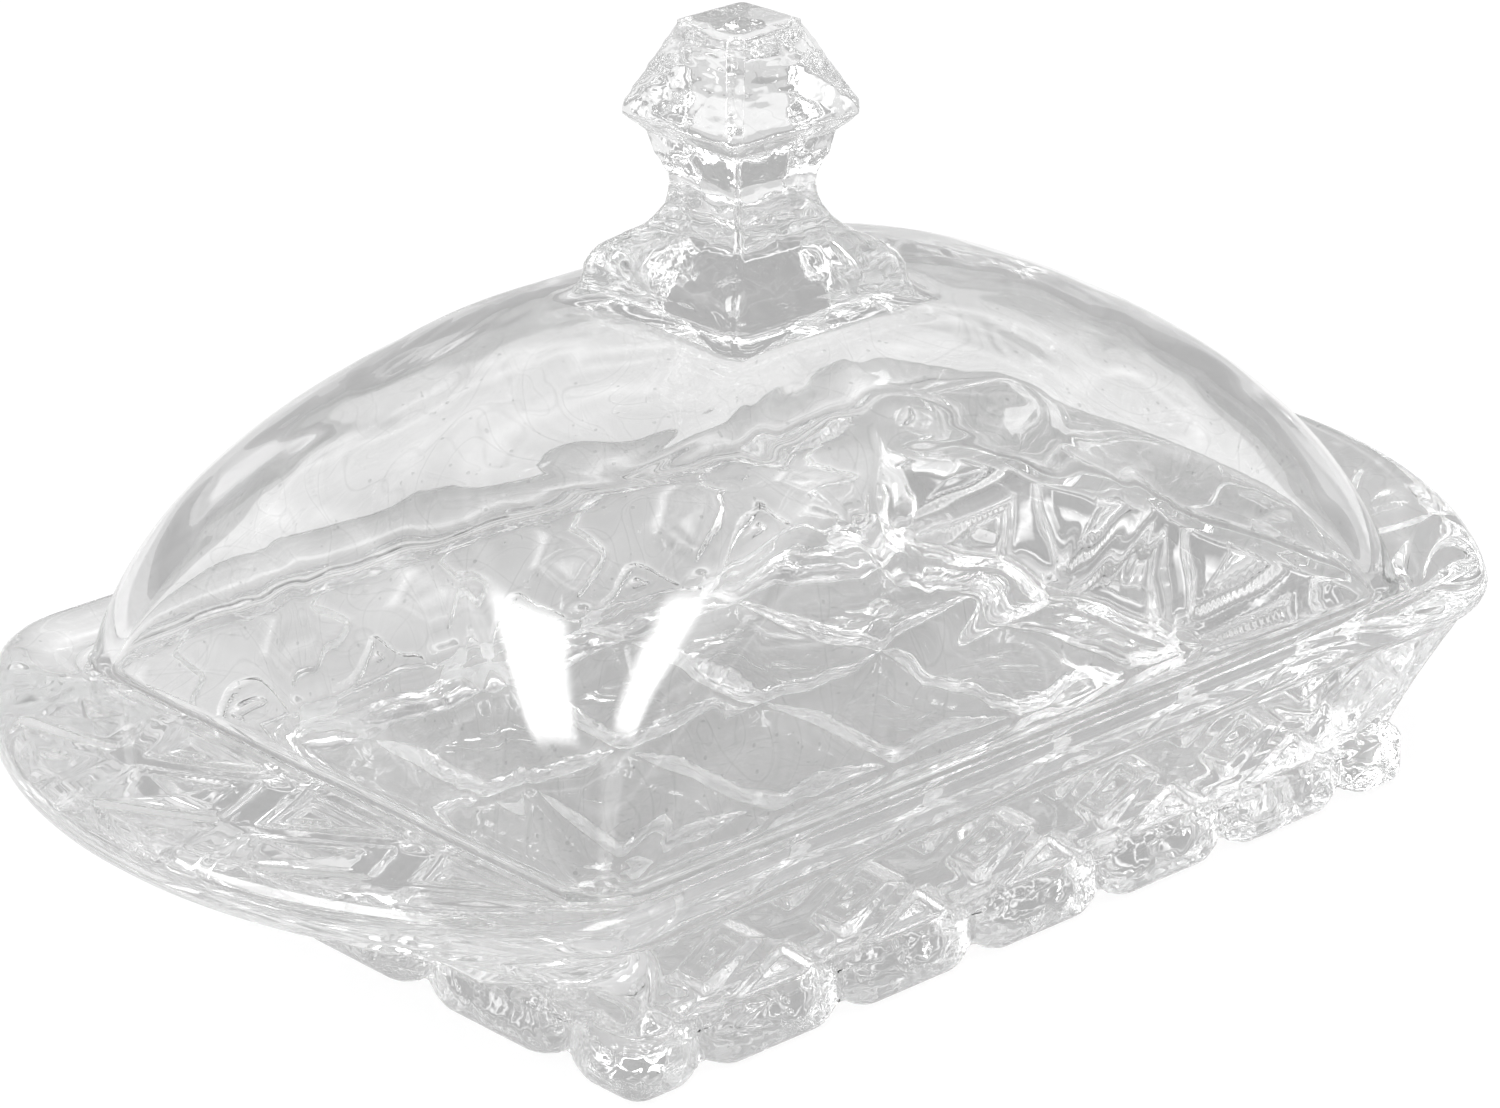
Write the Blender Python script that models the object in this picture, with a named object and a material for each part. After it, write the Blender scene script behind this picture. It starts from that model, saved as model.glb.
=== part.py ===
"""Covered butter dish in thick clear pressed glass.

Two pieces: a footed dish with a bowed lip at each end, and a domed cover with
a square knob pressed in one with it.  The cover stands on a ledge inside the
dish's rim and lifts straight up.

Frame: origin at the centre of the foot's underside, +X along the length,
+Y across the width, +Z up.  Lengths are in metres.
"""

import math
from collections import namedtuple

import bmesh
import bpy
from mathutils import Vector

# Driving dimensions
PITCH_X = 0.0208            # spacing of the foot's blocks along the length
PITCH_Y = 0.0249            # spacing of the foot's blocks across the width
BLOCK_GROOVES_X = 6         # grooves across the foot, seen from a long side
BLOCK_GROOVES_Y = 4         # grooves across the foot, seen from an end
CORNER_BLOCK_X = 0.0115     # from the last groove to the foot's corner, along the length
CORNER_BLOCK_Y = 0.0137     # and across the width
FOOT_HEIGHT = 0.0068        # underside to the top of the blocks
LEDGE_Z = 0.0236            # seat that the cover stands on
RIM_Z = 0.0278              # top of the dish's rim
DISH_LENGTH = 0.1912        # over the two bowed lips
DISH_WIDTH = 0.1156
COVER_LENGTH = 0.1330
COVER_WIDTH = 0.0980
COVER_HEIGHT = 0.0444       # ledge to the crown of the dome
GLASS_THICKNESS = 0.0034    # wall of the cover
KNOB_TOP_Z = 0.1010
SEAT_GAP = 0.0003           # kept between the cover and the dish
COVER_PLAY = 0.0008         # between the cover's edge and the step round the ledge

# Foot and bowl of the dish
FOOT_HALF_X = (BLOCK_GROOVES_X - 1) / 2 * PITCH_X + CORNER_BLOCK_X
FOOT_HALF_Y = (BLOCK_GROOVES_Y - 1) / 2 * PITCH_Y + CORNER_BLOCK_Y
FOOT_ROLL = 0.0014          # rounding of the foot's lower edge
FOOT_STEP = 0.0016          # the wall starts this far inside the foot
FOOT_BEVEL = 0.0005         # bevel along the top of the blocks
FLOOR_Z = 0.0084            # inside floor of the dish
LEDGE_WIDTH = 0.0050
WALL_TOP_Z = 0.0218         # the wall meets the rim's underside
RIM_ROLL = 0.0029           # radius of the rim's rounded edge
LIP_BOW = 0.0262            # how far each lip bows out from its corners
RIM_FLAT = 0.0014           # from the rim's rounded edge to its inner slope
STEP_HEIGHT = 0.0011        # upstand round the ledge that locates the cover
STEP_LEAN = 0.0004
LEDGE_BEVEL = 0.0010        # bevel from the ledge down into the bowl
FLOOR_FILLET = 0.0030       # rounding between the bowl's side and its floor
STRAIGHT = 0.0002           # bow of an end that looks straight

# Grooves pressed into the foot and the wall
FOOT_GROOVE_DEPTH = 0.0030
SIDE_GROOVE_DEPTH = 0.0021
ARM_GROOVE_DEPTH = 0.0011
DEEPER = 1.05               # one of two crossing sets of grooves is this much deeper
GROOVE_REACH = 0.0040       # how far the cutting bars run past the glass
SIDE_GROOVE_RISE = 0.0026   # how far the foot's grooves run up the wall
ARM_CROSSING = 0.56         # height on the wall, of 1, where neighbouring arms cross
ARM_ROOT = -0.07            # heights where the arms start and end
ARM_HEAD = 0.97
ARM_MARGIN = 0.43           # how far arms run past the last groove, of a pitch
ARM_STEPS = 5
DOWN = (0, 0, -1)

# Outline resolution, per quarter turn
END_STEPS = 7
CORNER_STEPS = 5
SIDE_STEPS = 4

Section = namedtuple("Section", "z half_x half_y bow corner")


def blend(low, high, share):
    """The section part of the way from one section to another."""
    return Section(*(a + (b - a) * share for a, b in zip(low, high)))


def grown(section, amount, z):
    """A section offset outwards by an amount and moved to a height."""
    return Section(z, section.half_x + amount, section.half_y + amount,
                   section.bow, max(section.corner + amount, 0.0003))


def quarter_outline(section):
    """Points of a bowed rectangle from the end's middle to the side's middle."""
    corner = section.corner
    radius = (section.half_y ** 2 + section.bow ** 2) / (2 * section.bow)
    centre_x = section.half_x - radius
    fillet_y = section.half_y - corner
    fillet_x = centre_x + math.sqrt((radius - corner) ** 2 - fillet_y ** 2)
    end_angle = math.atan2(fillet_y, fillet_x - centre_x)
    points = []
    for step in range(END_STEPS):
        angle = end_angle * step / END_STEPS
        points.append((centre_x + radius * math.cos(angle), radius * math.sin(angle)))
    for step in range(CORNER_STEPS + 1):
        angle = end_angle + (math.pi / 2 - end_angle) * step / CORNER_STEPS
        points.append((fillet_x + corner * math.cos(angle), fillet_y + corner * math.sin(angle)))
    for step in range(1, SIDE_STEPS + 1):
        points.append((fillet_x * (1 - step / SIDE_STEPS), section.half_y))
    return points


def outline(section):
    """A closed bowed rectangle, anticlockwise, made from its quarter."""
    quarter = quarter_outline(section)
    upper = quarter + [(-x, y) for x, y in reversed(quarter[:-1])]
    lower = [(x, -y) for x, y in reversed(upper[1:-1])]
    return [(x, y, section.z) for x, y in upper + lower]


def loft(name, sections):
    """A closed skin through the sections in order, capped at both ends."""
    mesh = bmesh.new()
    rings = [[mesh.verts.new(point) for point in outline(section)] for section in sections]
    mesh.faces.new(list(reversed(rings[0])))
    for lower, upper in zip(rings, rings[1:]):
        count = len(lower)
        for index in range(count):
            after = (index + 1) % count
            mesh.faces.new((lower[index], lower[after], upper[after], upper[index]))
    mesh.faces.new(rings[-1])
    data = bpy.data.meshes.new(name)
    mesh.to_mesh(data)
    mesh.free()
    return bpy.data.objects.new(name, data)


def glass_material(name, colour):
    """Clear glass for one node."""
    material = bpy.data.materials.new(name)
    material.use_nodes = True
    shader = material.node_tree.nodes["Principled BSDF"]
    shader.inputs["Base Color"].default_value = colour
    shader.inputs["Roughness"].default_value = 0.02
    shader.inputs["Metallic"].default_value = 0.0
    shader.inputs["IOR"].default_value = 1.52
    shader.inputs["Transmission Weight"].default_value = 1.0
    return material


# ---------------------------------------------------------------- the dish

FOOT_TOP = Section(FOOT_HEIGHT, FOOT_HALF_X, FOOT_HALF_Y, STRAIGHT, 0.0030)
WALL_FOOT = grown(FOOT_TOP, -FOOT_STEP, FOOT_HEIGHT + 2 * FOOT_BEVEL)
WALL_HEAD = Section(WALL_TOP_Z, 0.0935, 0.0540, 0.0217, 0.0110)
RIM_CORE = Section(RIM_Z - RIM_ROLL, DISH_LENGTH / 2 - RIM_ROLL, DISH_WIDTH / 2 - RIM_ROLL,
                   LIP_BOW, 0.0115)
SEAT_OUTER = Section(LEDGE_Z, COVER_LENGTH / 2 + COVER_PLAY, COVER_WIDTH / 2 + COVER_PLAY,
                     STRAIGHT, 0.0060)
FLOOR_EDGE = Section(FLOOR_Z, 0.0555, 0.0385, STRAIGHT, 0.0075)


def dish_sections():
    """Sections of the dish from its underside, up the outside and down to the floor."""
    sections = [grown(FOOT_TOP, -FOOT_ROLL, 0)]
    for angle in (math.radians(45), math.radians(90)):
        sections.append(grown(FOOT_TOP, FOOT_ROLL * (math.sin(angle) - 1),
                              FOOT_ROLL * (1 - math.cos(angle))))
    sections.append(grown(FOOT_TOP, 0, FOOT_HEIGHT - 2 * FOOT_BEVEL))
    sections.append(grown(FOOT_TOP, -FOOT_BEVEL, FOOT_HEIGHT))
    sections += [blend(WALL_FOOT, WALL_HEAD, step / 4) for step in range(5)]
    for degrees in range(-60, 91, 30):
        angle = math.radians(degrees)
        sections.append(grown(RIM_CORE, RIM_ROLL * math.cos(angle),
                              RIM_CORE.z + RIM_ROLL * math.sin(angle)))
    return sections + slope_sections() + bowl_sections()


def slope_sections():
    """Sections of the hollow slope from the rim's top down to the step round the ledge."""
    top = grown(RIM_CORE, -RIM_FLAT, RIM_Z - 0.3 * RIM_FLAT)
    foot = grown(SEAT_OUTER, STEP_LEAN, LEDGE_Z + STEP_HEIGHT)
    return [blend(foot, top, share)._replace(z=foot.z + (top.z - foot.z) * share ** 2)
            for share in (1.0, 0.67, 0.33, 0.0)]


def bowl_sections():
    """Sections of the ledge, the bowl's side and the floor's edge."""
    ledge_inner = grown(SEAT_OUTER, -LEDGE_WIDTH, LEDGE_Z)
    fillet = [grown(FLOOR_EDGE, FLOOR_FILLET * math.sin(angle),
                    FLOOR_Z + FLOOR_FILLET * (1 - math.cos(angle)))
              for angle in (math.radians(90), math.radians(45))]
    return [SEAT_OUTER, ledge_inner,
            grown(ledge_inner, -LEDGE_BEVEL, LEDGE_Z - LEDGE_BEVEL)] + fillet + [FLOOR_EDGE]


def add_bar(mesh, points, outward, depth):
    """A bar of diamond section through the points, which cuts a V groove of that depth.

    The bar's diamond stands on edge, with one corner in the outward direction at
    each point and one as deep below the surface.
    """
    points = [Vector(point) for point in points]
    rings = []
    for index, point in enumerate(points):
        along = points[min(index + 1, len(points) - 1)] - points[max(index - 1, 0)]
        out = Vector(outward[index]).normalized() * depth
        side = along.cross(out).normalized() * depth
        rings.append([mesh.verts.new(point + offset) for offset in (out, side, -out, -side)])
    mesh.faces.new(rings[0])
    for lower, upper in zip(rings, rings[1:]):
        for corner in range(4):
            after = (corner + 1) % 4
            mesh.faces.new((lower[after], lower[corner], upper[corner], upper[after]))
    mesh.faces.new(list(reversed(rings[-1])))


def add_cutter(name, bars, depth, collection):
    """A hidden cutter object of bars that don't touch each other."""
    mesh = bmesh.new()
    for points, outward in bars:
        add_bar(mesh, points, outward, depth)
    bmesh.ops.recalc_face_normals(mesh, faces=mesh.faces)
    data = bpy.data.meshes.new(name)
    mesh.to_mesh(data)
    mesh.free()
    cutter = bpy.data.objects.new(name, data)
    cutter.hide_render = True
    cutter.display_type = "WIRE"
    collection.objects.link(cutter)
    return cutter


def groove_positions(count, pitch):
    """Evenly spaced positions about zero."""
    return [(index - (count - 1) / 2) * pitch for index in range(count)]


def cross_bars():
    """Bars across the foot's underside."""
    reach = FOOT_HALF_Y + GROOVE_REACH
    return [(((x, -reach, 0), (x, reach, 0)), (DOWN, DOWN))
            for x in groove_positions(BLOCK_GROOVES_X, PITCH_X)]


def length_bars():
    """Bars along the foot's underside."""
    reach = FOOT_HALF_X + GROOVE_REACH
    return [(((-reach, y, 0), (reach, y, 0)), (DOWN, DOWN))
            for y in groove_positions(BLOCK_GROOVES_Y, PITCH_Y)]


def side_bars():
    """Upright bars that carry each groove up the foot's sides to the wall."""
    spots = [((x, side * FOOT_HALF_Y), (0, side, 0)) for side in (-1, 1)
             for x in groove_positions(BLOCK_GROOVES_X, PITCH_X)]
    spots += [((side * FOOT_HALF_X, y), (side, 0, 0)) for side in (-1, 1)
              for y in groove_positions(BLOCK_GROOVES_Y, PITCH_Y)]
    low, high = -GROOVE_REACH, FOOT_HEIGHT + SIDE_GROOVE_RISE
    return [(((x, y, low), (x, y, high)), (outward, outward)) for (x, y), outward in spots]


def wall_point(along, height, end_wall, side):
    """A point on the outside of the wall: height 0 at its foot and 1 at its head."""
    level = blend(WALL_FOOT, WALL_HEAD, height)
    if not end_wall:
        return Vector((along, side * level.half_y, level.z))
    radius = (level.half_y ** 2 + level.bow ** 2) / (2 * level.bow)
    drop = radius - math.sqrt(radius ** 2 - along ** 2)
    return Vector((side * (level.half_x - drop), along, level.z))


def wall_normal(along, height, end_wall, side):
    """The direction out of the wall at a point."""
    small = 0.01
    here = wall_point(along, height, end_wall, side)
    up = wall_point(along, height + small, end_wall, side) - here
    across = wall_point(along + small * PITCH_X, height, end_wall, side) - here
    normal = up.cross(across)
    return normal if normal.dot(Vector((here.x, here.y, 0))) > 0 else -normal


def arm_bars(lean):
    """Bars that rise to one side along the wall, from its foot above each foot groove."""
    walls = ((groove_positions(BLOCK_GROOVES_X, PITCH_X), PITCH_X, False),
             (groove_positions(BLOCK_GROOVES_Y, PITCH_Y), PITCH_Y, True))
    bars = []
    for starts, pitch, end_wall in walls:
        limit = max(starts) + ARM_MARGIN * pitch
        run = lean * pitch / (2 * ARM_CROSSING)
        for side in (-1, 1):
            for start in starts:
                top = min(ARM_HEAD, (limit - lean * start) / abs(run))
                heights = [ARM_ROOT + (top - ARM_ROOT) * step / ARM_STEPS
                           for step in range(ARM_STEPS + 1)]
                spots = [(start + run * height, height, end_wall, side) for height in heights]
                bars.append(([wall_point(*spot) for spot in spots],
                             [wall_normal(*spot) for spot in spots]))
    return bars


def cut(target, cutter):
    """Take a cutter out of an object.  EXACT leaves open edges where many grooves meet."""
    modifier = target.modifiers.new(cutter.name, "BOOLEAN")
    modifier.operation = "DIFFERENCE"
    modifier.object = cutter
    modifier.solver = "MANIFOLD"


def build_dish(parts, cutters):
    """The dish: foot, bowl, rim and lips in one piece of glass."""
    dish = loft("dish", dish_sections())
    dish.data.materials.append(glass_material("dish_glass", (0.93, 0.95, 0.95, 1)))
    parts.objects.link(dish)
    cut(dish, add_cutter("cross_grooves", cross_bars(), FOOT_GROOVE_DEPTH, cutters))
    cut(dish, add_cutter("length_grooves", length_bars(), DEEPER * FOOT_GROOVE_DEPTH, cutters))
    cut(dish, add_cutter("side_grooves", side_bars(), SIDE_GROOVE_DEPTH, cutters))
    cut(dish, add_cutter("right_arms", arm_bars(1), ARM_GROOVE_DEPTH, cutters))
    cut(dish, add_cutter("left_arms", arm_bars(-1), DEEPER * ARM_GROOVE_DEPTH, cutters))
    return dish


# --------------------------------------------------------------- the cover

DOME_ROUND_X = 2.74         # exponent that squares the dome's profile across
DOME_ROUND_Z = 2.33         # and upwards
COVER_FOOT_Z = LEDGE_Z + SEAT_GAP
RIM_CORNER = 0.0052         # radius of the cover's corners at its edge
CROWN_CORNER = 0.0330       # and how much it grows by the crown
INNER_CORNER = 0.6          # how fast the corners tighten through the glass
EDGE_ROLL = 0.0009          # rounding of the cover's lower edge

# The knob's head and plinth: depth below its top, half its side, corner radius
KNOB_HEAD = ((0.0000, 0.0050, 0.0006), (0.0008, 0.0061, 0.0008), (0.0098, 0.0105, 0.0013),
             (0.0112, 0.0107, 0.0013), (0.0128, 0.0091, 0.0011))
KNOB_PLINTH = ((0.0279, 0.0126, 0.0016), (0.0296, 0.0142, 0.0020), (0.0334, 0.0149, 0.0022),
               (0.0349, 0.0156, 0.0026), (0.0358, 0.0165, 0.0032))
NECK_DEPTH = 0.0203         # depth of the neck's narrowest point below the knob's top
NECK_CENTRE = 0.0135        # centre of the neck's hollow profile, from the knob's axis
NECK_RADIUS = 0.0069
NECK_CORNER = 0.0010


def dome_level(angle, shrink):
    """A horizontal section of the dome: angle 0 at its foot and 90 degrees at its crown."""
    across = math.cos(angle) ** (2 / DOME_ROUND_X)
    height = math.sin(angle) ** (2 / DOME_ROUND_Z)
    half_x = (COVER_LENGTH / 2 - shrink) * across
    half_y = (COVER_WIDTH / 2 - shrink) * across
    corner = min(RIM_CORNER - shrink * INNER_CORNER + CROWN_CORNER * height, 0.9 * half_y)
    z = COVER_FOOT_Z + (COVER_HEIGHT - SEAT_GAP - shrink) * height
    return Section(z, half_x, half_y, min(STRAIGHT, 0.02 * half_y), corner)


def dome_sections():
    """Sections of the dome's shell, down its outside, round its edge and up inside."""
    angles = [math.radians(degrees) for degrees in (88, 82, 75, 67, 58, 49, 40, 31, 22, 13, 5)]
    outer = [dome_level(angle, 0.0) for angle in angles]
    inner = [dome_level(angle, GLASS_THICKNESS) for angle in reversed(angles)]
    edge = dome_level(0.0, 0.0)
    roll = [edge._replace(z=COVER_FOOT_Z + EDGE_ROLL),
            grown(edge, -EDGE_ROLL, COVER_FOOT_Z),
            grown(edge, EDGE_ROLL - GLASS_THICKNESS, COVER_FOOT_Z),
            grown(edge, -GLASS_THICKNESS, COVER_FOOT_Z + EDGE_ROLL)]
    return outer + roll + inner


def square(depth, half, corner):
    """A square section of the knob with rounded corners, at a depth below its top."""
    return Section(KNOB_TOP_Z - depth, half, half, min(STRAIGHT, 0.02 * half), corner)


def neck_squares():
    """Squares whose half side follows the neck's hollow arc, from the top down."""
    angles = [math.radians(degrees) for degrees in (148, 164, 180, 201, 222, 243)]
    return [square(NECK_DEPTH - NECK_RADIUS * math.sin(angle),
                   NECK_CENTRE + NECK_RADIUS * math.cos(angle), NECK_CORNER)
            for angle in angles]


def knob_sections():
    """Sections of the knob from the top down; its foot ends inside the dome's glass."""
    head = [square(*level) for level in KNOB_HEAD]
    plinth = [square(*level) for level in KNOB_PLINTH]
    return head + neck_squares() + plinth


def build_cover(parts, cutters):
    """The cover: a shell-like dome and its solid knob, joined into one piece of glass."""
    cover = loft("cover", dome_sections())
    cover.data.flip_normals()
    cover.data.materials.append(glass_material("cover_glass", (0.95, 0.96, 0.96, 1)))
    parts.objects.link(cover)
    knob = loft("knob_form", knob_sections())
    knob.data.flip_normals()
    knob.hide_render = True
    knob.display_type = "WIRE"
    cutters.objects.link(knob)
    modifier = cover.modifiers.new("knob", "BOOLEAN")
    modifier.operation = "UNION"
    modifier.object = knob
    modifier.solver = "EXACT"
    return cover


def main():
    for old in list(bpy.data.objects):
        bpy.data.objects.remove(old, do_unlink=True)
    parts = bpy.data.collections.new("butter_dish")
    cutters = bpy.data.collections.new("cutters")
    for collection in (parts, cutters):
        bpy.context.scene.collection.children.link(collection)
    for piece in (build_dish(parts, cutters), build_cover(parts, cutters)):
        piece.data.shade_smooth()
        piece.data.set_sharp_from_angle(angle=math.radians(30))


main()
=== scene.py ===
"""Looks of the covered butter dish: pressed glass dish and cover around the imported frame.

Both pieces are fine grids of quads.  The dish is a set of rings, from the foot's
underside up the wall, over the rim and down into the bowl, with the pressed
pattern laid on as relief.  The cover is one set of rings from the top of its
knob, over the dome and up its inside.
"""

import math
from collections import namedtuple

import bpy
import numpy as np
from mathutils import Matrix, Vector


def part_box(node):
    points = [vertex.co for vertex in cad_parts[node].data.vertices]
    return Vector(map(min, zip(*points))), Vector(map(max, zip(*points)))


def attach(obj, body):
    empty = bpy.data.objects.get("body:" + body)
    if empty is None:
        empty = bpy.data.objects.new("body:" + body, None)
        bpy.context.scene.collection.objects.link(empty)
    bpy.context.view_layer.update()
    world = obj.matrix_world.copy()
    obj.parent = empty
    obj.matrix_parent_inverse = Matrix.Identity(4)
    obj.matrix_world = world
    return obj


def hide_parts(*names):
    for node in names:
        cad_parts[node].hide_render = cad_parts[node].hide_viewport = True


MM = 0.001

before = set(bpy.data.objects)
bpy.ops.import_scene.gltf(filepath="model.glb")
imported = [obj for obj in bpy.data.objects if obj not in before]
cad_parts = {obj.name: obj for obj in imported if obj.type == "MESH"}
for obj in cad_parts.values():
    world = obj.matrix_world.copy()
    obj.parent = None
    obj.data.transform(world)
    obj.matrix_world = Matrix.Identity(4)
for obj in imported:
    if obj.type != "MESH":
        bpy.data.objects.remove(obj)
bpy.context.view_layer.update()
scene = bpy.context.scene

# ------------------------------------------------------------- measures
# Overall sizes come from the frame; the rest are the pressed pattern's own.

HALF_LENGTH, HALF_WIDTH, RIM_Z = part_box("dish")[1]
COVER_LOW, COVER_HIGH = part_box("cover")
COVER_HALF_X, COVER_HALF_Y, KNOB_TOP_Z = COVER_HIGH
SEAT_Z = COVER_LOW[2]       # underside of the cover's edge

PITCH_X = 20.8 * MM         # between the foot's grooves, along the length
PITCH_Y = 24.9 * MM         # and across the width
LAST_GROOVE_X = 2.5 * PITCH_X
LAST_GROOVE_Y = 1.5 * PITCH_Y
FOOT_HALF_X = LAST_GROOVE_X + 11.5 * MM
FOOT_HALF_Y = LAST_GROOVE_Y + 13.7 * MM
FOOT_HEIGHT = 6.8 * MM
FOOT_ROLL = 2.0 * MM        # radius of the foot's lower edge
WALL_TOP_Z = 21.8 * MM
RIM_ROLL = 2.9 * MM         # radius of the rim's edge
FLOOR_Z = 8.4 * MM          # floor of the bowl
FLOOR_ROUND = 3.0 * MM      # radius where the bowl's sides meet its floor
CROWN_Z = 68.0 * MM         # top of the dome's outer skin
GLASS = 3.4 * MM            # wall of the cover

# A level of a piece: bow is how far its ends bulge, corner the radius of its corners
Section = namedtuple("Section", "z half_x half_y bow corner")
STRAIGHT = 0.2 * MM         # bow of an end that counts as straight


def grown(section, amount, z):
    """The section made larger all round, at another height."""
    return Section(z, section.half_x + amount, section.half_y + amount,
                   section.bow, max(section.corner + amount, 0.3 * MM))


def blend(low, high, share):
    """The section part of the way from one to another."""
    return Section(*(a + (b - a) * share for a, b in zip(low, high)))


def smooth(value):
    """0 below 0, 1 above 1, and a smooth rise between."""
    value = np.clip(value, 0, 1)
    return value * value * (3 - 2 * value)


def ridge(distance, width):
    """Nearly 1 on a line and 0 a width away: a roof with a slightly rounded top."""
    rounding = 0.12
    slant = np.sqrt(distance ** 2 + (rounding * width) ** 2) / width
    return np.clip(1 - slant + rounding * 0.5, 0, 1)


# ---------------------------------------------------------------- rings

def ring(section, columns_x, columns_y):
    """One closed ring of a bowed rectangle, anticlockwise from its (-X, -Y) corner.

    Columns are spread evenly by X along the sides and by Y along the ends, so the
    columns of rings of different shapes stay above each other.
    """
    z, half_x, half_y, bow, corner = section
    radius = (half_y ** 2 + bow ** 2) / (2 * bow)
    centre = half_x - radius
    fillet_y = half_y - corner
    fillet_x = centre + math.sqrt((radius - corner) ** 2 - fillet_y ** 2)
    end_angle = math.atan2(fillet_y, fillet_x - centre)
    middle = (end_angle + math.pi / 2) / 2
    corner_x = fillet_x + corner * math.cos(middle)
    corner_y = fillet_y + corner * math.sin(middle)
    arc_y = radius * math.sin(end_angle)

    x = corner_x * np.linspace(-1, 1, columns_x + 1)[:-1]
    over = np.clip(np.abs(x) - fillet_x, 0, corner)
    side_y = np.where(np.abs(x) > fillet_x, fillet_y + np.sqrt(corner ** 2 - over ** 2), half_y)
    y = corner_y * np.linspace(-1, 1, columns_y + 1)[:-1]
    high = np.clip(np.abs(y) - fillet_y, 0, corner)
    end_x = np.where(np.abs(y) > arc_y, fillet_x + np.sqrt(corner ** 2 - high ** 2),
                     centre + np.sqrt(radius ** 2 - np.minimum(np.abs(y), arc_y) ** 2))
    points = np.concatenate([np.stack([x, -side_y], 1), np.stack([end_x, y], 1),
                             np.stack([-x, side_y], 1), np.stack([-end_x, -y], 1)])
    return np.concatenate([points, np.full((len(points), 1), z)], 1)


def grid_normals(rows):
    """Outward normals of stacked rings (rows, columns, 3) whose rows run up the outside."""
    across = np.roll(rows, -1, axis=1) - np.roll(rows, 1, axis=1)
    upward = np.gradient(rows, axis=0)
    normals = np.cross(across, upward)
    return normals / np.maximum(np.linalg.norm(normals, axis=2, keepdims=True), 1e-12)


def ring_faces(first, count, columns):
    """Quads between consecutive rings numbered from a first vertex."""
    faces = []
    for row in range(count - 1):
        start = first + row * columns
        for column in range(columns):
            after = (column + 1) % columns
            faces.append((start + column, start + after,
                          start + columns + after, start + columns + column))
    return faces


def make_piece(name, points, faces, body, node, material):
    """A smooth-shaded piece that rides on a body and stands for a CAD node."""
    data = bpy.data.meshes.new(name)
    data.from_pydata(points.tolist(), [], faces)
    data.validate()
    data.shade_smooth()
    data.materials.append(material)
    piece = bpy.data.objects.new(name, data)
    scene.collection.objects.link(piece)
    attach(piece, body)
    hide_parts(node)
    return piece


# ----------------------------------------------------------- the dish's relief

ARM_CROSSING = 0.56         # height on the wall, of 1, where neighbouring arms cross
BLOCK_SIDE_DEPTH = 2.1 * MM
BLOCK_UNDER_DEPTH = 2.6 * MM
BLOCK_ROUND = 0.46          # rounded share of each half of a block


def from_groove(along, pitch):
    """Signed distance from the nearest groove; the first is half a pitch from the middle."""
    return along - pitch * (np.floor(along / pitch) + 0.5)


def block_round(along, pitch, last):
    """How far a pillow-shaped block has fallen away: 0 on its flat, 1 in the next groove."""
    share = np.abs(from_groove(along, pitch)) / (pitch / 2)
    share = np.where(np.abs(along) > last + pitch / 2, 1.0, share)
    return np.clip(1 - share / BLOCK_ROUND, 0, 1) ** 1.7


def flutes(along, pitch, last):
    """Fine upright flutes inside each foot groove."""
    depth, half_pitch = 0.14 * MM, 0.42 * MM
    distance = from_groove(along, pitch)
    near = smooth(1.6 - np.abs(distance) / (1.5 * MM)) * (np.abs(along) < last + pitch / 2)
    return depth * near * np.cos(distance / half_pitch * math.pi)


def lattice(along, height, pitch, slope, limit):
    """Relief of the wall's cross pattern, outwards positive.

    Arms rise both ways from the top of every foot groove, with a line cut along
    each edge.  Between them stand four-sided diamonds, and above each block a
    triangle with a sunk window.  Height is 0 to 1 up the wall, slope the wall's
    length from foot to head, and limit how far along the pattern goes.
    """
    run = pitch / 2 / ARM_CROSSING
    lean = slope / math.hypot(slope, run)
    right = np.abs(from_groove(along - run * height, pitch)) * lean
    left = np.abs(from_groove(along + run * height, pitch)) * lean
    arm = np.minimum(right, left)

    band = 2.5 * MM             # half width of an arm
    relief = -0.75 * MM * ridge(arm - band - 0.7 * MM, 0.95 * MM)
    relief += 0.22 * MM * smooth((band - arm) / (0.9 * MM))
    beyond = np.clip(arm - band - 1.2 * MM, 0, None)
    relief -= 0.75 * MM * smooth(beyond / (0.7 * MM)) - 0.26 * beyond

    middle = pitch / 2 - np.abs(from_groove(along, pitch))
    half_base, apex = 0.33 * pitch, 0.40
    steep = slope * apex / math.hypot(slope * apex, half_base)
    edge = (half_base * (1 - height / apex) - middle) * steep
    plate = 0.30 * MM * smooth(edge / (0.7 * MM)) - 0.55 * MM * ridge(edge, 0.8 * MM)
    window = np.minimum(edge - 1.25 * MM, (height - 0.13) * slope)
    plate -= 0.80 * MM * smooth(window / (0.8 * MM))
    inside = smooth(edge / (0.6 * MM) + 1)
    relief = np.where(height < apex, relief + (plate - relief) * inside, relief)

    fade = smooth((limit - np.abs(along)) / (2.5 * MM)) * smooth((1 - height) / 0.07)
    return relief * fade


# ------------------------------------------------------------------ the dish

DISH_COLUMNS_X = 220
DISH_COLUMNS_Y = 170
WALL_ROWS = 38
SIDE_SLOPE = 14.7 * MM      # length of the wall from foot to head at the long sides
END_SLOPE = 33.0 * MM       # and at the ends, where it flares out
GROOVE_ENDS = 0.16          # height on the wall, of 1, where the foot's grooves run out
GROOVE_ON_WALL = 0.55       # their depth there, of their depth on the foot

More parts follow.
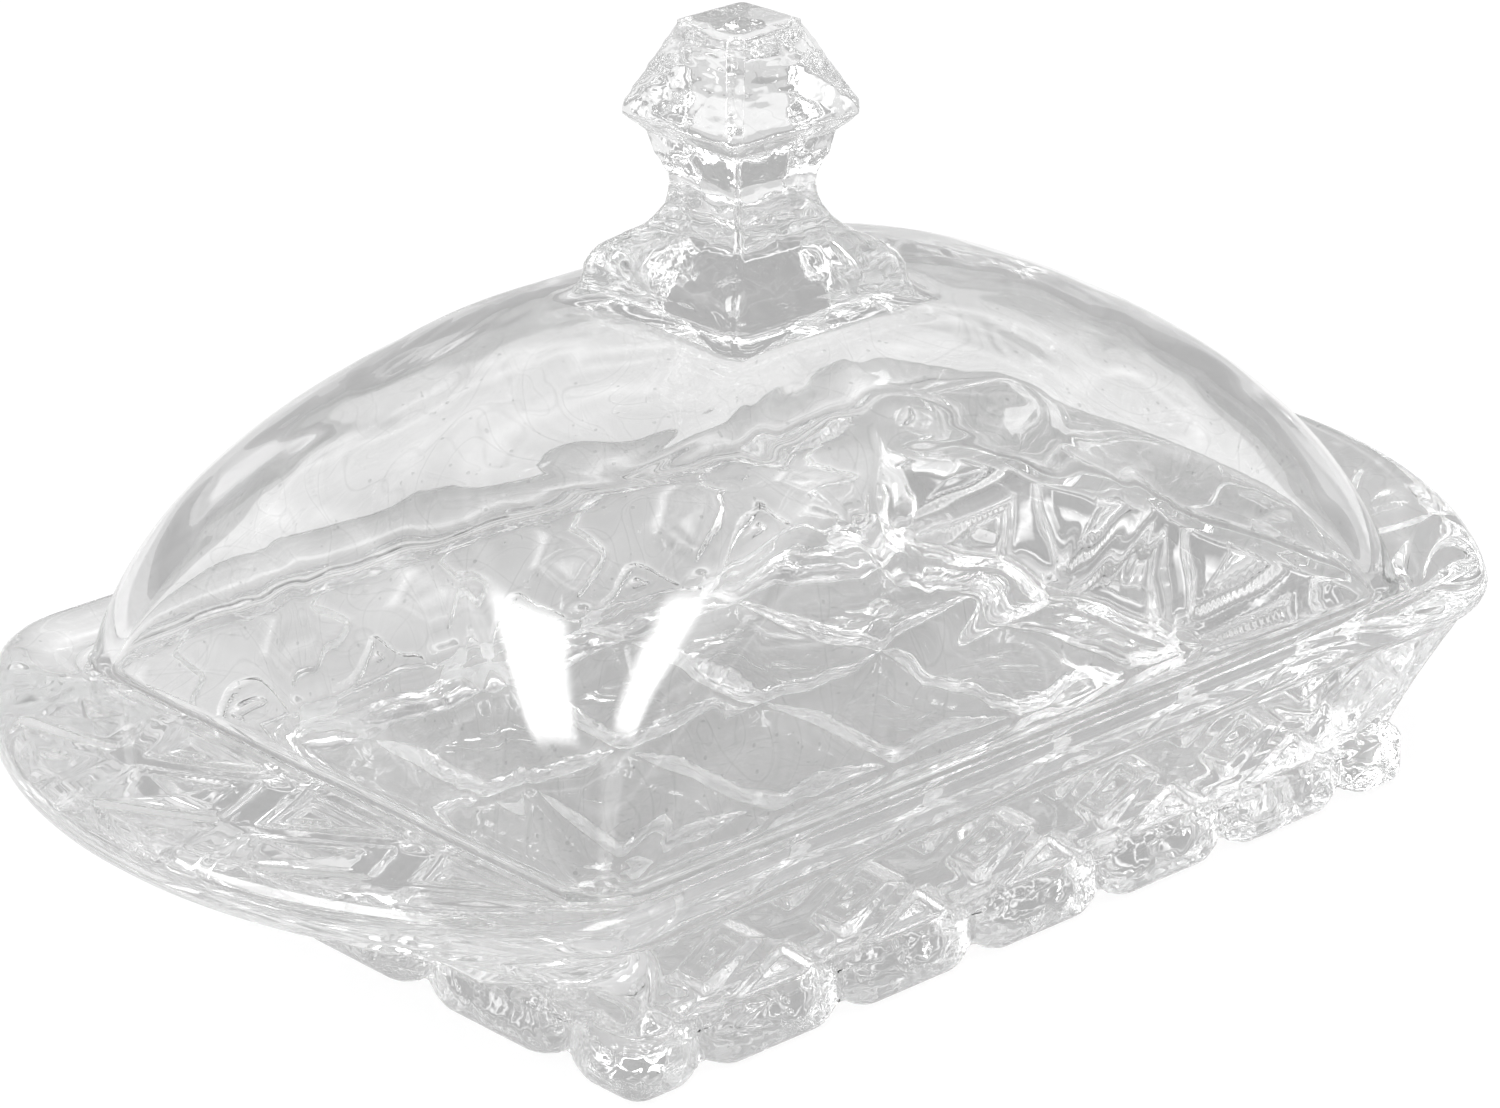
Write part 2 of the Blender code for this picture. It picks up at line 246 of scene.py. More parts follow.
FOOT_TOP = Section(FOOT_HEIGHT, FOOT_HALF_X, FOOT_HALF_Y, STRAIGHT, 3.0 * MM)
WALL_FOOT = grown(FOOT_TOP, -1.6 * MM, FOOT_HEIGHT + 1.0 * MM)
WALL_HEAD = Section(WALL_TOP_Z, HALF_LENGTH - 2.1 * MM, HALF_WIDTH - 3.8 * MM,
                    21.7 * MM, 11.0 * MM)
RIM_CORE = Section(RIM_Z - RIM_ROLL, HALF_LENGTH - RIM_ROLL, HALF_WIDTH - RIM_ROLL,
                   26.2 * MM, 11.5 * MM)
SEAT_OUTER = Section(SEAT_Z - 0.3 * MM, COVER_HALF_X + 0.8 * MM, COVER_HALF_Y + 0.8 * MM,
                     STRAIGHT, 6.0 * MM)
FLOOR_EDGE = Section(FLOOR_Z, 55.5 * MM, 38.5 * MM, STRAIGHT, 7.5 * MM)


def dish_ring(section):
    return ring(section, DISH_COLUMNS_X, DISH_COLUMNS_Y)


def foot_sections():
    """Underside's edge, the rolled lower edge, the blocks' sides and their bevelled top."""
    sections = [grown(FOOT_TOP, -FOOT_ROLL, 0.0)]
    for step in range(1, 5):
        angle = math.radians(22.5 * step)
        sections.append(grown(FOOT_TOP, FOOT_ROLL * (math.sin(angle) - 1),
                              FOOT_ROLL * (1 - math.cos(angle))))
    side = FOOT_HEIGHT - 0.7 * MM - FOOT_ROLL
    for share in (0.25, 0.5, 0.75, 1.0):
        sections.append(grown(FOOT_TOP, 0.0, FOOT_ROLL + side * share))
    sections.append(grown(FOOT_TOP, -0.35 * MM, FOOT_HEIGHT - 0.1 * MM))
    sections.append(grown(FOOT_TOP, -1.0 * MM, FOOT_HEIGHT + 0.45 * MM))
    return sections


def rim_sections():
    """The rim's rounded edge, from the wall's head over to its top."""
    return [grown(RIM_CORE, RIM_ROLL * math.cos(math.radians(degrees)),
                  RIM_CORE.z + RIM_ROLL * math.sin(math.radians(degrees)))
            for degrees in (-62, -45, -30, -15, 0, 18, 36, 54, 72, 90)]


def inner_sections():
    """The hollow slope inside the rim, the cover's ledge, and the bowl down to its floor."""
    top = grown(RIM_CORE, -1.4 * MM, RIM_Z - 0.42 * MM)
    foot = grown(SEAT_OUTER, 0.4 * MM, SEAT_OUTER.z + 1.1 * MM)
    sections = [blend(foot, top, share)._replace(z=foot.z + (top.z - foot.z) * share ** 2)
                for share in (1.0, 0.85, 0.68, 0.50, 0.33, 0.18, 0.07, 0.0)]
    ledge = grown(SEAT_OUTER, -5.0 * MM, SEAT_OUTER.z)
    sections += [grown(SEAT_OUTER, 0.15 * MM, SEAT_OUTER.z + 0.5 * MM), SEAT_OUTER,
                 grown(SEAT_OUTER, -0.4 * MM, SEAT_OUTER.z), blend(SEAT_OUTER, ledge, 0.9),
                 ledge, grown(ledge, -0.5 * MM, ledge.z - 0.25 * MM),
                 grown(ledge, -0.9 * MM, ledge.z - 0.9 * MM)]
    lower = grown(FLOOR_EDGE, FLOOR_ROUND, FLOOR_Z + FLOOR_ROUND)
    sections += [blend(sections[-1], lower, share) for share in (0.33, 0.67)]
    for degrees in (90, 60, 30):
        angle = math.radians(degrees)
        sections.append(grown(FLOOR_EDGE, FLOOR_ROUND * math.sin(angle),
                              FLOOR_Z + FLOOR_ROUND * (1 - math.cos(angle))))
    sections.append(FLOOR_EDGE)
    return sections


def side_coordinates(points):
    """Whether each column is on an end wall, and how far along its side each point lies."""
    end_wall = np.zeros(2 * (DISH_COLUMNS_X + DISH_COLUMNS_Y), bool)
    end_wall[DISH_COLUMNS_X:DISH_COLUMNS_X + DISH_COLUMNS_Y] = True
    end_wall[2 * DISH_COLUMNS_X + DISH_COLUMNS_Y:] = True
    return end_wall, np.where(end_wall, points[..., 1], points[..., 0])


def dish_outside():
    """Rings of the foot and wall with their relief."""
    foot = foot_sections()
    steps = [step / (WALL_ROWS - 1) for step in range(WALL_ROWS)]
    wall = [blend(WALL_FOOT, WALL_HEAD, step) for step in steps]
    rows = np.stack([dish_ring(section) for section in foot + wall])
    end_wall, along = side_coordinates(rows)
    heights = np.array([0.0] * len(foot) + steps)[:, None]
    is_wall = np.array([False] * len(foot) + [True] * WALL_ROWS)[:, None]

    groove = BLOCK_SIDE_DEPTH * np.where(end_wall, block_round(along, PITCH_Y, LAST_GROOVE_Y),
                                         block_round(along, PITCH_X, LAST_GROOVE_X))
    groove += np.where(end_wall, flutes(along, PITCH_Y, LAST_GROOVE_Y),
                       flutes(along, PITCH_X, LAST_GROOVE_X))
    run_out = np.where(is_wall, GROOVE_ON_WALL * smooth(1 - heights / GROOVE_ENDS), 1.0)
    end_limit = LAST_GROOVE_Y + 0.45 * PITCH_Y
    side_limit = LAST_GROOVE_X + 0.45 * PITCH_X
    cross = np.where(end_wall, lattice(along, heights, PITCH_Y, END_SLOPE, end_limit),
                     lattice(along, heights, PITCH_X, SIDE_SLOPE, side_limit))
    relief = np.where(is_wall, cross, 0.0) - groove * run_out
    moved = rows + grid_normals(rows) * relief[..., None]
    moved[0, :, 2] = 0.0
    return moved


def underside(edge):
    """Grid under the foot, grooved both ways, inside the given edge ring."""
    n, m = DISH_COLUMNS_X, DISH_COLUMNS_Y
    loop = np.concatenate([edge, edge[:1]])
    south = loop[:n + 1]
    east = loop[n:n + m + 1]
    north = loop[n + m:2 * n + m + 1][::-1]
    west = loop[2 * n + m:][::-1]
    u = np.linspace(0, 1, n + 1)[:, None, None]
    v = np.linspace(0, 1, m + 1)[None, :, None]
    flat = (south[:, None] * (1 - v) + north[:, None] * v + west[None] * (1 - u) + east[None] * u
            - (south[0] * (1 - u) * (1 - v) + south[-1] * u * (1 - v)
               + north[0] * (1 - u) * v + north[-1] * u * v))
    fall_x = block_round(flat[..., 0], PITCH_X, LAST_GROOVE_X)
    fall_y = block_round(flat[..., 1], PITCH_Y, LAST_GROOVE_Y)
    flat[..., 2] = BLOCK_UNDER_DEPTH * (1 - (1 - fall_x) * (1 - fall_y))
    return flat


def build_dish(material):
    """Rings from the foot's edge to the bowl's floor, closed by the floor and the underside."""
    n, m = DISH_COLUMNS_X, DISH_COLUMNS_Y
    columns = 2 * (n + m)
    outside = dish_outside()
    inside = np.stack([dish_ring(section) for section in rim_sections() + inner_sections()])
    grid = underside(outside[0])
    border = ([(i, 0) for i in range(n)] + [(n, j) for j in range(m)]
              + [(i, m) for i in range(n, 0, -1)] + [(0, j) for j in range(m, 0, -1)])
    outside[0] = np.array([grid[i, j] for i, j in border])
    rings = np.concatenate([outside, inside])
    faces = ring_faces(0, len(rings), columns)

    # The underside's inner vertices follow the rings'; its border is the first ring
    inner = grid[1:-1, 1:-1]
    number = np.zeros((n + 1, m + 1), int)
    for index, (i, j) in enumerate(border):
        number[i, j] = index
    first = len(rings) * columns
    number[1:-1, 1:-1] = first + np.arange((n - 1) * (m - 1)).reshape(n - 1, m - 1)
    quads = np.stack([number[:-1, :-1], number[:-1, 1:], number[1:, 1:], number[1:, :-1]], -1)
    faces += [tuple(quad) for quad in quads.reshape(-1, 4).tolist()]
    faces.append(tuple(range(first - columns, first)))
    points = np.concatenate([rings.reshape(-1, 3), inner.reshape(-1, 3)])
    return make_piece("pressed_dish", points, faces, "dish", "dish", material)


# ----------------------------------------------------------------- the cover

COVER_COLUMNS_X = 126
COVER_COLUMNS_Y = 94
DOME_ROUND_X = 2.74         # exponents of the dome's rounded outline
DOME_ROUND_Z = 2.33
SHOULDER = 0.80             # height on the dome, of 1, where its flatter crown begins
CHAMFER = 1.6 * MM          # cut off the upright corners of the knob's head
KNOB_RIPPLE = 0.07 * MM


def cover_ring(section):
    return ring(section, COVER_COLUMNS_X, COVER_COLUMNS_Y)


def dome_section(height, shrink):
    """Half sizes and corner radius of the dome: height 0 at its edge and 1 at its crown."""
    across = (1 - np.clip(height, 0, 1) ** DOME_ROUND_Z) ** (1 / DOME_ROUND_X)
    half_x = (COVER_HALF_X - shrink) * across
    half_y = (COVER_HALF_Y - shrink) * across
    corner = np.minimum(5.2 * MM - 0.6 * shrink + 33 * MM * height, 0.9 * half_y)
    return half_x, half_y, corner


def dome_height(x, y, shrink):
    """Height of the dome's skin over points of its plan, by halving."""
    low, high = np.zeros_like(x), np.ones_like(x)
    for _ in range(36):
        middle = (low + high) / 2
        half_x, half_y, corner = dome_section(middle, shrink)
        over_x = np.abs(x) - half_x + corner
        over_y = np.abs(y) - half_y + corner
        outside = (np.hypot(np.maximum(over_x, 0), np.maximum(over_y, 0))
                   + np.minimum(np.maximum(over_x, over_y), 0)) > corner
        high = np.where(outside, middle, high)
        low = np.where(outside, low, middle)
    return SEAT_Z + (CROWN_Z - SEAT_Z - shrink) * (low + high) / 2


def dome_ring(height, shrink):
    """The dome's section at a height of 0 to 1; shrink is 0 outside and GLASS inside."""
    half_x, half_y, corner = dome_section(height, shrink)
    z = SEAT_Z + (CROWN_Z - SEAT_Z - shrink) * height
    return Section(z, half_x, half_y, min(STRAIGHT, 0.02 * half_y), corner)


def square(depth, half, corner):
    """A square section of the knob, some depth below its top."""
    return Section(KNOB_TOP_Z - depth, half, half, min(STRAIGHT, 0.02 * half), corner)


def chamfered(level, half, cut):
    """The ring with its four upright corners cut flat."""
    over = np.maximum(np.abs(level[:, 0]) + np.abs(level[:, 1]) - (2 * half - cut), 0) / 2
    level[:, 0] -= np.sign(level[:, 0]) * over
    level[:, 1] -= np.sign(level[:, 1]) * over
    return level


def rippled(level, depth):
    """The ring with the slight uneven waves of fire-polished pressed glass."""
    x, y, z = level.T / MM
    wave = np.sin(x * 0.9 + z * 2.1) + np.sin(y * 1.1 - z * 1.7 + 0.8)
    wave = wave + np.sin(z * 4.6 + 0.35 * (x + y))
    level[:, :2] *= 1 - depth * (1.6 + wave[:, None] / 2) / np.abs(level[:, :2]).max()
    return level


def knob_profile():
    """Depth below the knob's top, half side and corner radius, in mm, from the top down."""
    head = [(0.02, 1.5, 0.3), (0.0, 3.4, 0.5), (0.05, 4.6, 0.7), (0.3, 5.4, 0.8), (0.9, 6.05, 0.9)]
    head += [(0.9 + 8.9 * s, 6.05 + 4.35 * s, 0.9 + 0.7 * s) for s in np.linspace(0.06, 1.0, 22)]
    head += [(10.2, 10.62, 1.6), (10.7, 10.75, 1.6), (11.2, 10.72, 1.6), (11.6, 10.55, 1.6),
             (12.0, 10.15, 1.5)]
    head += [(12.0 + 1.7 * s, 10.15 - 1.75 * s, 1.5 - 0.4 * s) for s in np.linspace(0.2, 1.0, 5)]
    neck = []
    for degrees in np.linspace(146, 243, 22):
        angle = math.radians(degrees)
        neck.append((20.3 - 6.9 * math.sin(angle), 13.5 + 6.9 * math.cos(angle), 1.0))
    shoulder = [(27.0, 11.3, 1.2), (27.6, 12.2, 1.4), (28.2, 12.95, 1.6), (28.9, 13.6, 1.9),
                (29.6, 14.05, 2.1), (30.4, 14.35, 2.3)]
    plinth = [(30.4 + 1.5 * s, 14.35 + 0.3 * s, 2.3 + 0.2 * s) for s in np.linspace(0.2, 1.0, 4)]
    return head + neck + shoulder + plinth


def knob_rings():
    """The knob from its top down to its plinth's foot; only its head is chamfered."""
    rings = []
    for depth, half, corner in knob_profile():
        level = cover_ring(square(depth * MM, half * MM, corner * MM))
        if 0.5 < depth < 11.5:
            level = chamfered(level, half * MM, CHAMFER)
        rings.append(rippled(level, KNOB_RIPPLE) if depth > 0.5 else level)
    return rings


def fillet_rings(start):
    """The hollow fillet from the plinth's foot down onto the dome."""
    outward = start[:, :2] / np.abs(start[:, :2]).max(axis=1, keepdims=True)
    rings = []
    for angle in np.radians([12, 24, 36, 48, 60, 72, 82]):
        level = start.copy()
        level[:, :2] += outward * 2.6 * MM * (1 - math.cos(angle))
        surface = dome_height(level[:, 0], level[:, 1], 0.0)
        level[:, 2] = surface + (start[:, 2] - surface) * (1 - math.sin(angle))
        rings.append(level)
    return rings


def crown_rings(start, clear_of):
    """From the fillet out over the crown to the shoulder, each ring dropped onto the dome."""
    outer = cover_ring(dome_ring(SHOULDER, 0.0))
    rings = []
    for share in np.linspace(0.0, 1.0, 24)[1:]:
        spread = share ** 1.3
        level = start * (1 - spread) + outer * spread
        level[:, 2] = dome_height(level[:, 0], level[:, 1], 0.0)
        rings.append(level)
    nearest = np.abs(clear_of[0, 0]) + 0.4 * MM
    return [level for level in rings if np.abs(level[0, 0]) > nearest]


def skirt_rings():
    """The dome's outside below its shoulder, its rounded edge, and its inside up again."""
    heights = SHOULDER * (1 - np.linspace(0, 1, 40)[1:] ** 0.9)[:-1]
    outside = [cover_ring(dome_ring(height, 0.0)) for height in heights]
    outside = [level for level in outside if level[0, 2] > SEAT_Z + 1.5 * MM]
    edge = dome_ring(0.0, 0.0)
    roll = [grown(edge, 0.0, SEAT_Z + 1.2 * MM), grown(edge, -0.25 * MM, SEAT_Z + 0.35 * MM),
            grown(edge, -0.9 * MM, SEAT_Z), grown(edge, 0.9 * MM - GLASS, SEAT_Z),
            grown(edge, 0.25 * MM - GLASS, SEAT_Z + 0.35 * MM)]
    heights = SHOULDER * np.linspace(0, 1, 30)[1:] ** 0.9
    inside = [cover_ring(dome_ring(height, GLASS)) for height in heights]
    inside = [level for level in inside if level[0, 2] > SEAT_Z + 0.8 * MM]
    return outside + [cover_ring(section) for section in roll] + inside


def roof_rings(start):
    """The inside of the crown, closing in to a small level patch at its middle."""
    patch = cover_ring(Section(0, 2.0 * MM, 2.0 * MM, STRAIGHT * 0.1, 1.5 * MM))
    rings = []
    for share in np.linspace(0, 1, 16)[1:]:
        level = start * (1 - share) + patch * share
        level[:, 2] = dome_height(level[:, 0], level[:, 1], GLASS)
        rings.append(level)
    return rings


def build_cover(material):
    """Rings from the knob's top over the dome and up its inside, closed at both ends."""
    knob = knob_rings()
    fillet = fillet_rings(knob[-1])
    crown = crown_rings(knob[-1], fillet[-1])
    skirt = skirt_rings()
    rings = np.stack(knob + fillet + crown + skirt + roof_rings(skirt[-1]))
    columns = rings.shape[1]
    faces = [face[::-1] for face in ring_faces(0, len(rings), columns)]
    faces.append(tuple(range(columns)))
    last = (len(rings) - 1) * columns
    faces.append(tuple(reversed(range(last, last + columns))))
    return make_piece("domed_cover", rings.reshape(-1, 3), faces,
                      "cover", "cover", material)


# --------------------------------------------------------------- node helpers

def grey(tone):
    return tone, tone, tone, 1.0


def feed(tree, socket, value):
    """Set an input to a plain number, or link it to another node's output."""
    if isinstance(value, (int, float)):
        socket.default_value = value
    else:
        tree.links.new(value, socket)


def noise(tree, place, scale, detail, distortion):
    node = tree.nodes.new("ShaderNodeTexNoise")
    node.inputs["Scale"].default_value = scale
    node.inputs["Detail"].default_value = detail
    node.inputs["Distortion"].default_value = distortion
    tree.links.new(place, node.inputs["Vector"])
    return node.outputs["Fac"]


def calculate(tree, operation, first, second=0.0):
    """A Math node on outputs or plain numbers."""
    node = tree.nodes.new("ShaderNodeMath")
    node.operation = operation
    feed(tree, node.inputs[0], first)
    feed(tree, node.inputs[1], second)
    return node.outputs[0]


def map_range(tree, value, low, high, to_low=0.0, to_high=1.0, kind="SMOOTHSTEP"):
    node = tree.nodes.new("ShaderNodeMapRange")
    node.interpolation_type = kind
    for name, number in (("Value", value), ("From Min", low), ("From Max", high),
                         ("To Min", to_low), ("To Max", to_high)):
        feed(tree, node.inputs[name], number)
    return node.outputs[0]


def grey_ramp(tree, value, tones):
    """A colour ramp through (position, tone) pairs, from 0 to 1."""
    node = tree.nodes.new("ShaderNodeValToRGB")
    elements = node.color_ramp.elements
    elements[0].color = grey(tones[0][1])
    elements[1].color = grey(tones[-1][1])
    for position, tone in tones[1:-1]:
        elements.new(position).color = grey(tone)
    tree.links.new(value, node.inputs["Fac"])
    return node.outputs["Color"]


def add_bump(tree, height, depth, before=None):
    node = tree.nodes.new("ShaderNodeBump")
    node.inputs["Strength"].default_value = 1.0
    node.inputs["Distance"].default_value = depth
    tree.links.new(height, node.inputs["Height"])
    if before is not None:
        tree.links.new(before, node.inputs["Normal"])
    return node.outputs["Normal"]


# ------------------------------------------------------------------ the glass

SEED_DEPTH = 0.08 * MM
SEED_SHADE = 0.3            # how much a seed darkens the glass, of 1
CALM = 0.7                  # how much flatter the waves are where the glass is rippled
STRIA_FOLDS = 30.0          # phase of the striae over the swirl's whole range, in radians


def seed_dots(tree, place):
    """1 in the few tiny trapped bubbles that lie at the skin, 0 elsewhere."""
    cells = tree.nodes.new("ShaderNodeTexVoronoi")
    cells.inputs["Scale"].default_value = 420.0
    tree.links.new(place, cells.inputs["Vector"])
    pick = tree.nodes.new("ShaderNodeSeparateColor")
    tree.links.new(cells.outputs["Color"], pick.inputs["Color"])
    dot = calculate(tree, "LESS_THAN", cells.outputs["Distance"], 0.10)
    return calculate(tree, "MULTIPLY", dot,
                     calculate(tree, "GREATER_THAN", pick.outputs["Red"], 0.65))


def glass_tone(tree, striae, seeds, clear):
    """Thin dark streaks where the striae fold over, between slightly uneven bands."""
    level = map_range(tree, striae, -1.0, 1.0, kind="LINEAR")
    changes = ((0.0, -0.01), (0.44, 0.02), (0.50, -0.13), (0.56, 0.02), (0.85, -0.035),
               (1.0, 0.005))
    tone = grey_ramp(tree, level, [(position, clear + change) for position, change in changes])
    shade = calculate(tree, "MULTIPLY", seeds, SEED_SHADE)
    return calculate(tree, "MULTIPLY", tone, calculate(tree, "SUBTRACT", 1.0, shade))


def add_absorption(material):
    """The faint grey-green of thick clear glass."""
    tree = material.node_tree
    volume = tree.nodes.new("ShaderNodeVolumeAbsorption")
    volume.inputs["Color"].default_value = (0.55, 0.58, 0.56, 1.0)
    volume.inputs["Density"].default_value = 1.0
    tree.links.new(volume.outputs["Volume"], tree.nodes["Material Output"].inputs["Volume"])


def glass_material(name, clear, wave_depth, stria_depth, ripple_depth, smooth_z, rippled_z):
    """Clear pressed glass: wavy, with swirling striae and a few fine seeds.

    It is smooth up to the height smooth_z and finely rippled from rippled_z on, or the
    other way up where rippled_z is the lower of the two.
    """
    material = bpy.data.materials.new(name)
    material.use_nodes = True
    tree = material.node_tree
    nodes, links = tree.nodes, tree.links
    shader = nodes["Principled BSDF"]
    shader.inputs["IOR"].default_value = 1.52
    shader.inputs["Transmission Weight"].default_value = 1.0
    shader.inputs["Roughness"].default_value = 0.0

    place = nodes.new("ShaderNodeTexCoord").outputs["Object"]
    split = nodes.new("ShaderNodeSeparateXYZ")
    links.new(place, split.inputs["Vector"])
    zone = map_range(tree, split.outputs["Z"], smooth_z, rippled_z)
    calm = calculate(tree, "SUBTRACT", 1.0, calculate(tree, "MULTIPLY", zone, CALM))
    swell = noise(tree, place, scale=34.0, detail=0.0, distortion=1.0)
    waves = calculate(tree, "MULTIPLY", swell, calm)
    swirl = noise(tree, place, scale=24.0, detail=0.6, distortion=2.2)
    striae = calculate(tree, "SINE", calculate(tree, "MULTIPLY", swirl, STRIA_FOLDS))
    grain = noise(tree, place, scale=190.0, detail=1.0, distortion=1.4)
    ripples = calculate(tree, "MULTIPLY", grain, zone)
    seeds = seed_dots(tree, place)

    normal = add_bump(tree, waves, wave_depth)
    normal = add_bump(tree, striae, stria_depth, normal)
    normal = add_bump(tree, ripples, ripple_depth, normal)
    normal = add_bump(tree, seeds, SEED_DEPTH, normal)
    links.new(normal, shader.inputs["Normal"])
    links.new(glass_tone(tree, striae, seeds, clear), shader.inputs["Base Color"])
    add_absorption(material)
    return material


# ------------------------------------------------------------------ the stage

FLOOR_REACH = 4.0
FLOOR_DROP = 0.2 * MM       # below the foot, so that the two never share a plane
WHITE_FLOOR = 0.94          # glow of the floor as the camera sees it

# A soft-edged lamp far away: the direction it hangs in, how far it is turned, its
# half sizes and soft edge as slopes from its middle, and its strength
Lamp = namedtuple("Lamp", "facing turn half_wide half_high fade strength")
LAMPS = (
    Lamp((-0.61, 0.27, 0.75), 51, 0.21, 0.24, 0.12, 11.0),      # highlight on the cover's end
    Lamp((-0.63, 0.60, 0.49), 42, 0.06, 0.06, 0.26, 1.3),       # soft glow beside it
    Lamp((-0.13, -0.38, 0.92), 53, 0.25, 0.06, 0.11, 11.0),     # highlight on the cover's side
    Lamp((0.30, -0.35, 0.88), -44, 0.12, 0.04, 0.30, 2.2),      # soft glow beside it
    Lamp((-0.60, -0.64, 0.46), 0, 0.09, 0.26, 0.12, 1.6),       # above the camera, on the walls
    Lamp((0.80, -0.50, 0.32), 0, 0.20, 0.16, 0.18, 0.60),       # right panel, and left panel:
    Lamp((-0.48, 0.82, 0.24), 0, 0.20, 0.08, 0.18, 0.45),       # seen through the knob's sides
)

# Tone of the studio against the sine of the angle above the horizon, with two bright strips
STUDIO_TONES = ((0.0, 0.55), (0.05, 0.49), (0.46, 0.455), (0.50, 1.35), (0.54, 0.455),
                (0.66, 0.455), (0.70, 1.20), (0.74, 0.47), (1.0, 0.50))


def floor_glow_with_painted_shadow(tree):
    """White to the camera; to the glass, dimmed by a painted shadow under the dish, lighter round
    it, dim far off.
    """
    place = tree.nodes.new("ShaderNodeTexCoord")
    away = tree.nodes.new("ShaderNodeVectorMath")
    away.operation = "LENGTH"
    tree.links.new(place.outputs["Object"], away.inputs[0])
    # Painted shadow: the floor's glow as the glass sees it is dimmed under and near the dish
    near = map_range(tree, away.outputs["Value"], low=0.07, high=0.17, to_low=0.49, to_high=0.84)
    far = map_range(tree, away.outputs["Value"], low=0.28, high=0.37, to_low=0.0, to_high=0.26)
    seen_by_glass_with_painted_shadow = calculate(tree, "SUBTRACT", near, far)
    path = tree.nodes.new("ShaderNodeLightPath")
    return map_range(tree, path.outputs["Is Camera Ray"], 0.0, 1.0, seen_by_glass_with_painted_shadow, WHITE_FLOOR, "LINEAR")


def add_floor():
    """A plain pale floor, its glow and painted shadow centred a little to the right of the dish.
    """
    data = bpy.data.meshes.new("floor")
    corners = [(x * FLOOR_REACH, y * FLOOR_REACH, -FLOOR_DROP)
               for x, y in ((-1, -1), (1, -1), (1, 1), (-1, 1))]
    data.from_pydata(corners, [], [(0, 1, 2, 3)])
    floor = bpy.data.objects.new("floor", data)
    scene.collection.objects.link(floor)
    floor.location = (45 * MM, -10 * MM, 0)
    material = bpy.data.materials.new("pale_floor")
    material.use_nodes = True
    tree = material.node_tree
    shader = tree.nodes["Principled BSDF"]
    shader.inputs["Base Color"].default_value = grey(0.08)
    shader.inputs["Roughness"].default_value = 0.8
    shader.inputs["Specular IOR Level"].default_value = 0.0
    shader.inputs["Emission Color"].default_value = grey(1.0)
    tree.links.new(floor_glow_with_painted_shadow(tree), shader.inputs["Emission Strength"])
    data.materials.append(material)
    return floor


def lamp_in_world(tree, place, lamp):
    """The lamp's strength inside its soft-edged rectangle of the world, 0 outside."""
    facing = Vector(lamp.facing).normalized()
    wide = facing.cross(Vector((0, 0, 1))).normalized()
    wide = Matrix.Rotation(math.radians(lamp.turn), 3, facing) @ wide
    along = []
    for axis in (facing, wide, wide.cross(facing)):
        dot = tree.nodes.new("ShaderNodeVectorMath")
        dot.operation = "DOT_PRODUCT"
        dot.inputs[1].default_value = axis
        tree.links.new(place, dot.inputs[0])
        along.append(dot.outputs["Value"])
    ahead = calculate(tree, "MAXIMUM", along[0], 0.05)
    inside = []
    for reach, half in ((along[1], lamp.half_wide), (along[2], lamp.half_high)):
        off = calculate(tree, "ABSOLUTE", calculate(tree, "DIVIDE", reach, ahead))
        inside.append(map_range(tree, off, half + lamp.fade, half))
    return calculate(tree, "MULTIPLY", calculate(tree, "MULTIPLY", *inside), lamp.strength)


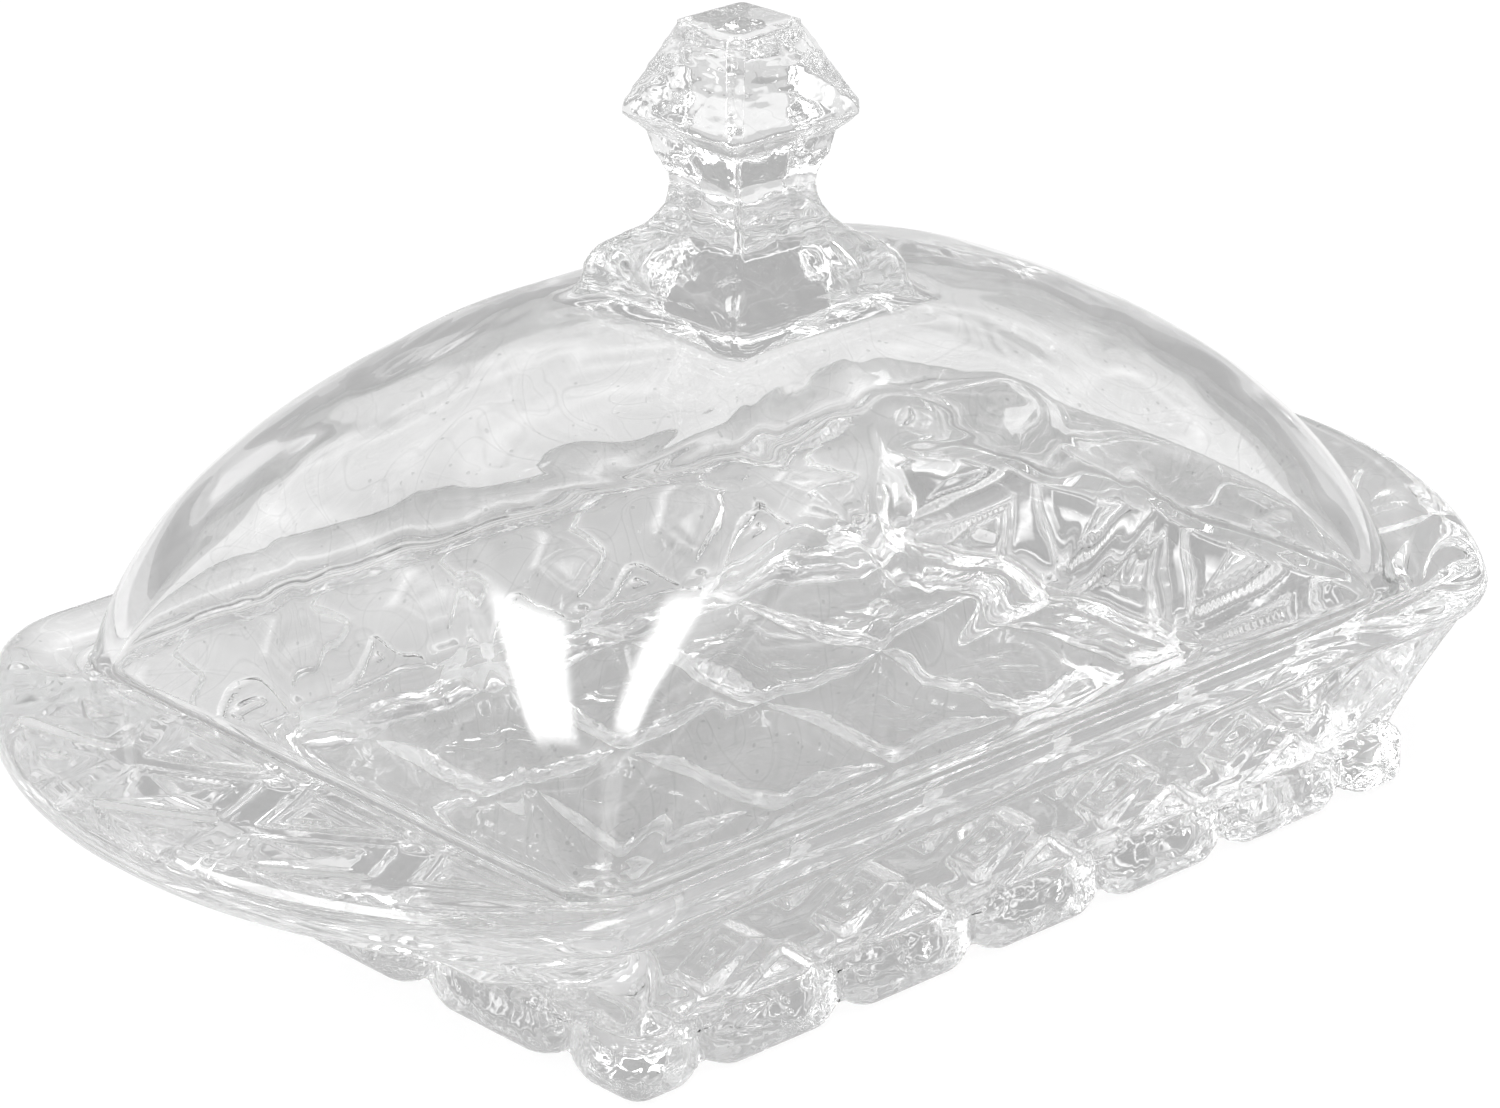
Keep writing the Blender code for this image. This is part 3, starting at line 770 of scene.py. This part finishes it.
def add_world():
    """A pale grey studio with soft-edged lamps over the near side; white behind the object."""
    world = bpy.data.worlds.new("studio")
    scene.world = world
    world.use_nodes = True
    tree = world.node_tree
    nodes, links = tree.nodes, tree.links
    place = nodes.new("ShaderNodeTexCoord").outputs["Generated"]
    split = nodes.new("ShaderNodeSeparateXYZ")
    links.new(place, split.inputs["Vector"])
    studio = nodes["Background"]
    links.new(grey_ramp(tree, split.outputs["Z"], STUDIO_TONES), studio.inputs["Color"])
    total = lamp_in_world(tree, place, LAMPS[0])
    for lamp in LAMPS[1:]:
        total = calculate(tree, "ADD", total, lamp_in_world(tree, place, lamp))
    lamps = nodes.new("ShaderNodeBackground")
    links.new(total, lamps.inputs["Strength"])
    both = nodes.new("ShaderNodeAddShader")
    links.new(studio.outputs[0], both.inputs[0])
    links.new(lamps.outputs[0], both.inputs[1])
    white = nodes.new("ShaderNodeBackground")
    path = nodes.new("ShaderNodeLightPath")
    choose = nodes.new("ShaderNodeMixShader")
    links.new(path.outputs["Is Camera Ray"], choose.inputs["Fac"])
    links.new(both.outputs[0], choose.inputs[1])
    links.new(white.outputs[0], choose.inputs[2])
    links.new(choose.outputs[0], nodes["World Output"].inputs["Surface"])
    return world


def add_camera():
    """The camera looks down at the dish's near corner from about 0.65 m."""
    turn, pitch, roll = math.radians(41.4), math.radians(22.15), math.radians(1.17)
    back = Vector((-math.sin(turn) * math.cos(pitch), -math.cos(turn) * math.cos(pitch),
                   math.sin(pitch)))
    right = Vector((math.cos(turn), -math.sin(turn), 0))
    up = back.cross(right)
    data = bpy.data.cameras.new("camera")
    data.sensor_width = 36.0
    data.lens = 130.4
    camera = bpy.data.objects.new("camera", data)
    scene.collection.objects.link(camera)
    rolled_right = math.cos(roll) * right - math.sin(roll) * up
    rolled_up = math.sin(roll) * right + math.cos(roll) * up
    matrix = Matrix((rolled_right, rolled_up, back)).transposed().to_4x4()
    matrix.translation = Vector((0, 0, 52.0 * MM)) - up * 17.18 * MM + back * 651.5 * MM
    camera.matrix_world = matrix
    scene.camera = camera
    return camera


def set_light_paths():
    """Enough bounces for light to find its way out of the thick cut glass."""
    scene.view_settings.view_transform = "Standard"
    scene.cycles.max_bounces = 80
    scene.cycles.transmission_bounces = 80
    scene.cycles.glossy_bounces = 80
    scene.cycles.diffuse_bounces = 2


# Only the dish's foot and the cover's knob are rippled
build_dish(glass_material("dish_glass", clear=0.975, wave_depth=0.12 * MM,
                          stria_depth=0.003 * MM, ripple_depth=0.30 * MM,
                          smooth_z=8.0 * MM, rippled_z=6.8 * MM))
build_cover(glass_material("cover_glass", clear=0.962, wave_depth=0.80 * MM,
                           stria_depth=0.006 * MM, ripple_depth=0.18 * MM,
                           smooth_z=CROWN_Z - 1.0 * MM, rippled_z=CROWN_Z + 1.0 * MM))
add_floor()
add_world()
add_camera()
set_light_paths()
